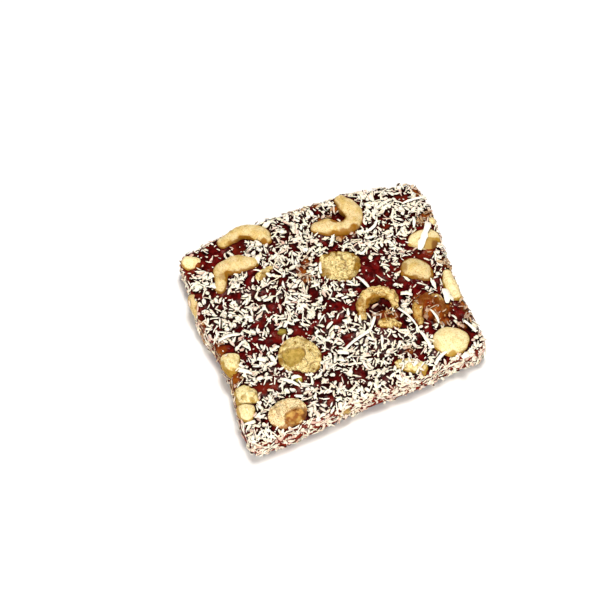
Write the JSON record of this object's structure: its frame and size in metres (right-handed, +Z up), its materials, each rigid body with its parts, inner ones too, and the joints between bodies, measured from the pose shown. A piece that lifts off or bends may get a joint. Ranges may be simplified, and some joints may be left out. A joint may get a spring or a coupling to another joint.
{
  "type": "carrot delight slab",
  "caption": "Hand-cut square slab of dark red carrot paste set with whole and cut nuts and coated in shredded coconut, lying flat.",
  "frame": {"origin": "middle of the base of the slab's box, on the surface it lies on", "axes": "+X along the front edge to the right, +Y from the front edge to the back, +Z up out of the top face"},
  "size_m": [0.1125, 0.0995, 0.0164],
  "materials": {
    "paste": "glossy dark red carrot paste",
    "coconut": "matt creamy white coconut shreds",
    "cashew": "smooth roasted cashew, pale gold",
    "hazelnut": "cut and blanched hazelnut, pale with golden edges",
    "amber": "nut under a glossy amber skin of paste",
    "pistachio": "yellow-green pistachio crumb"
  },
  "bodies": {
    "root": {"slab": "paste", "cashew_back_left": "cashew", "cashew_left": "cashew", "cashew_back": "cashew", "hollow_nut": "hazelnut", "hollow_nut_rim": "hazelnut", "cut_nut_middle": "hazelnut", "halved_hazelnut": "hazelnut", "nut_front": "hazelnut", "nut_back_right": "cashew", "nut_right": "cashew", "amber_nut": "amber", "pale_nut": "cashew", "nut_left_edge": "hazelnut", "nut_front_left": "hazelnut", "covered_nut": "cashew", "nut_wedge": "cashew", "nut_sliver": "cashew", "nut_corner": "cashew", "pistachio_1": "pistachio", "pistachio_2": "pistachio", "nut_right_edge": "cashew", "nut_left_wall": "cashew", "nut_front_wall": "cashew", "nut_back_wall_left": "cashew", "nut_back_wall_middle": "hazelnut", "nut_back_wall_right": "cashew", "nut_right_wall_back": "hazelnut", "nut_right_wall_front": "cashew"}
  },
  "joints": []
}
